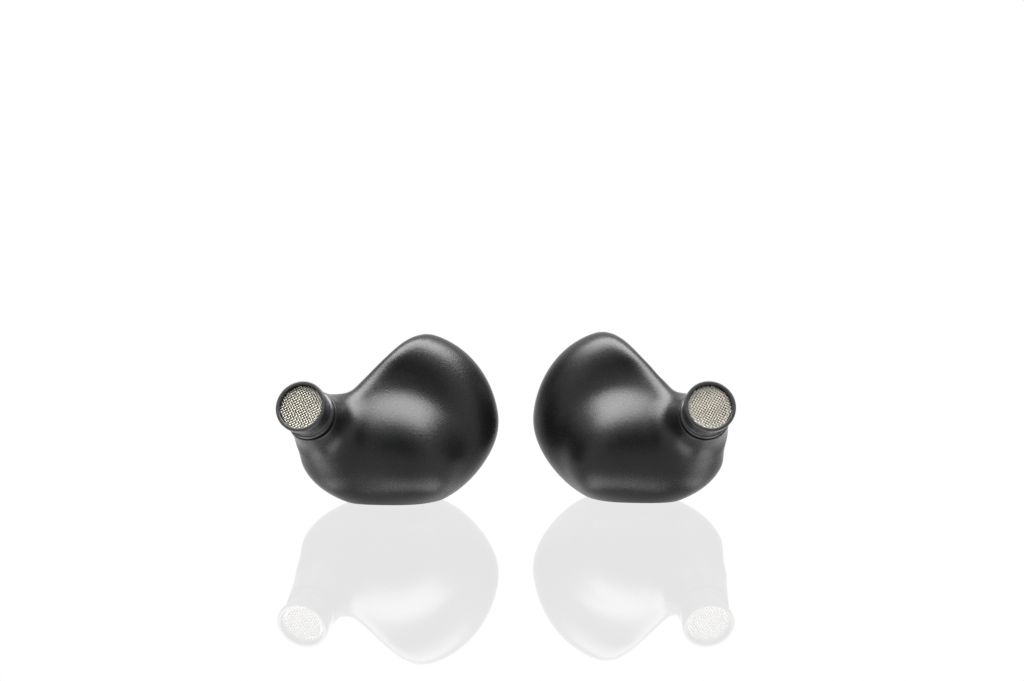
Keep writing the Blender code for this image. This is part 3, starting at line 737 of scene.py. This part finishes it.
def add_floor():
    """Glossy white table that shines by itself, so it stays white under the objects."""
    mesh = bpy.data.meshes.new("floor")
    size = FLOOR_SIZE
    corners = ((-size, -size, 0.0), (size, -size, 0.0), (size, size, 0.0), (-size, size, 0.0))
    mesh.from_pydata(corners, [], [(0, 1, 2, 3)])
    floor = bpy.data.objects.new("floor", mesh)
    bpy.context.scene.collection.objects.link(floor)
    floor.location.z = FLOOR_HEIGHT
    material, nodes, links = shader_of("floor_gloss_white")
    nodes.remove(nodes["Principled BSDF"])
    matt = nodes.new("ShaderNodeEmission")
    matt.inputs["Color"].default_value = (1.0, 1.0, 1.0, 1.0)
    matt.inputs["Strength"].default_value = 1.0
    gloss = nodes.new("ShaderNodeBsdfGlossy")
    gloss.inputs["Roughness"].default_value = FLOOR_ROUGHNESS
    gloss.inputs["Color"].default_value = (1.0, 1.0, 1.0, 1.0)
    blend = nodes.new("ShaderNodeMixShader")
    blend.inputs["Fac"].default_value = FLOOR_GLOSS
    links.new(matt.outputs["Emission"], blend.inputs[1])
    links.new(gloss.outputs["BSDF"], blend.inputs[2])
    links.new(blend.outputs["Shader"], nodes["Material Output"].inputs["Surface"])
    mesh.materials.append(material)


CAMERA_DISTANCE = 0.430
CAMERA_PITCH = 6.8
CAMERA_AIM = (0.000706, -0.000439, 0.0193)
FOCAL_IN_IMAGE_WIDTHS = 3680.0 / 1024.0


def add_camera():
    data = bpy.data.cameras.new("camera")
    camera = bpy.data.objects.new("camera", data)
    bpy.context.scene.collection.objects.link(camera)
    pitch = math.radians(CAMERA_PITCH)
    camera.location = (CAMERA_AIM[0], CAMERA_AIM[1] - CAMERA_DISTANCE * math.cos(pitch),
                       CAMERA_AIM[2] + CAMERA_DISTANCE * math.sin(pitch))
    camera.rotation_euler = (math.radians(90.0 - CAMERA_PITCH), 0.0, 0.0)
    data.sensor_width = 36.0
    data.lens = 36.0 * FOCAL_IN_IMAGE_WIDTHS
    data.clip_start = 0.01
    data.clip_end = 50.0
    bpy.context.scene.camera = camera


# direction of the screen's middle, angle where it starts to darken, angle where it is dark, level
DARK_SCREENS = (
    ((0.0, -1.0, 0.10), 46.0, 14.0, 0.02),
    ((1.0, 0.35, 0.0), 46.0, 20.0, 0.10),
    ((-1.0, 0.35, 0.0), 46.0, 20.0, 0.10),
)


def add_world():
    """White all round, but for dark screens in front of the earpieces and at their sides."""
    world = bpy.data.worlds.new("studio")
    bpy.context.scene.world = world
    world.use_nodes = True
    nodes, links = world.node_tree.nodes, world.node_tree.links
    coordinates = nodes.new("ShaderNodeTexCoord")
    strength = None
    for direction, start, end, low in DARK_SCREENS:
        dot = nodes.new("ShaderNodeVectorMath")
        dot.operation = "DOT_PRODUCT"
        dot.inputs[1].default_value = Vector(direction).normalized()
        links.new(coordinates.outputs["Generated"], dot.inputs[0])
        level = nodes.new("ShaderNodeMapRange")
        level.interpolation_type = "SMOOTHSTEP"
        level.inputs["From Min"].default_value = math.cos(math.radians(start))
        level.inputs["From Max"].default_value = math.cos(math.radians(end))
        level.inputs["To Min"].default_value = 1.0
        level.inputs["To Max"].default_value = low
        links.new(dot.outputs["Value"], level.inputs["Value"])
        if strength is None:
            strength = level.outputs["Result"]
            continue
        both = nodes.new("ShaderNodeMath")
        both.operation = "MULTIPLY"
        links.new(strength, both.inputs[0])
        links.new(level.outputs["Result"], both.inputs[1])
        strength = both.outputs["Value"]
    links.new(strength, nodes["Background"].inputs["Strength"])
    nodes["Background"].inputs["Color"].default_value = (1.0, 1.0, 1.0, 1.0)


# name, place, aim, size and power
OVERHEAD = ("overhead", (0.0, -0.04, 0.75), (0.0, 0.0, 0.0), (1.4, 0.7), 42.0)


def add_light(name, place_at, look_at, size, power):
    data = bpy.data.lights.new(name, "AREA")
    data.shape = "RECTANGLE"
    data.size, data.size_y = size
    data.energy = power
    light = bpy.data.objects.new(name, data)
    bpy.context.scene.collection.objects.link(light)
    light.location = place_at
    light.rotation_euler = (Vector(place_at) - Vector(look_at)).to_track_quat("Z", "Y").to_euler()


def main():
    paint_cad_nodes()
    for side in SIDES:
        add_shell(side)
        add_plate(side)
        add_nozzle(side)
        add_grille(side)
        add_socket(side)
        add_vent(side)
    add_floor()
    add_camera()
    add_world()
    add_light(*OVERHEAD)
    bpy.context.scene.view_settings.view_transform = "Standard"


main()
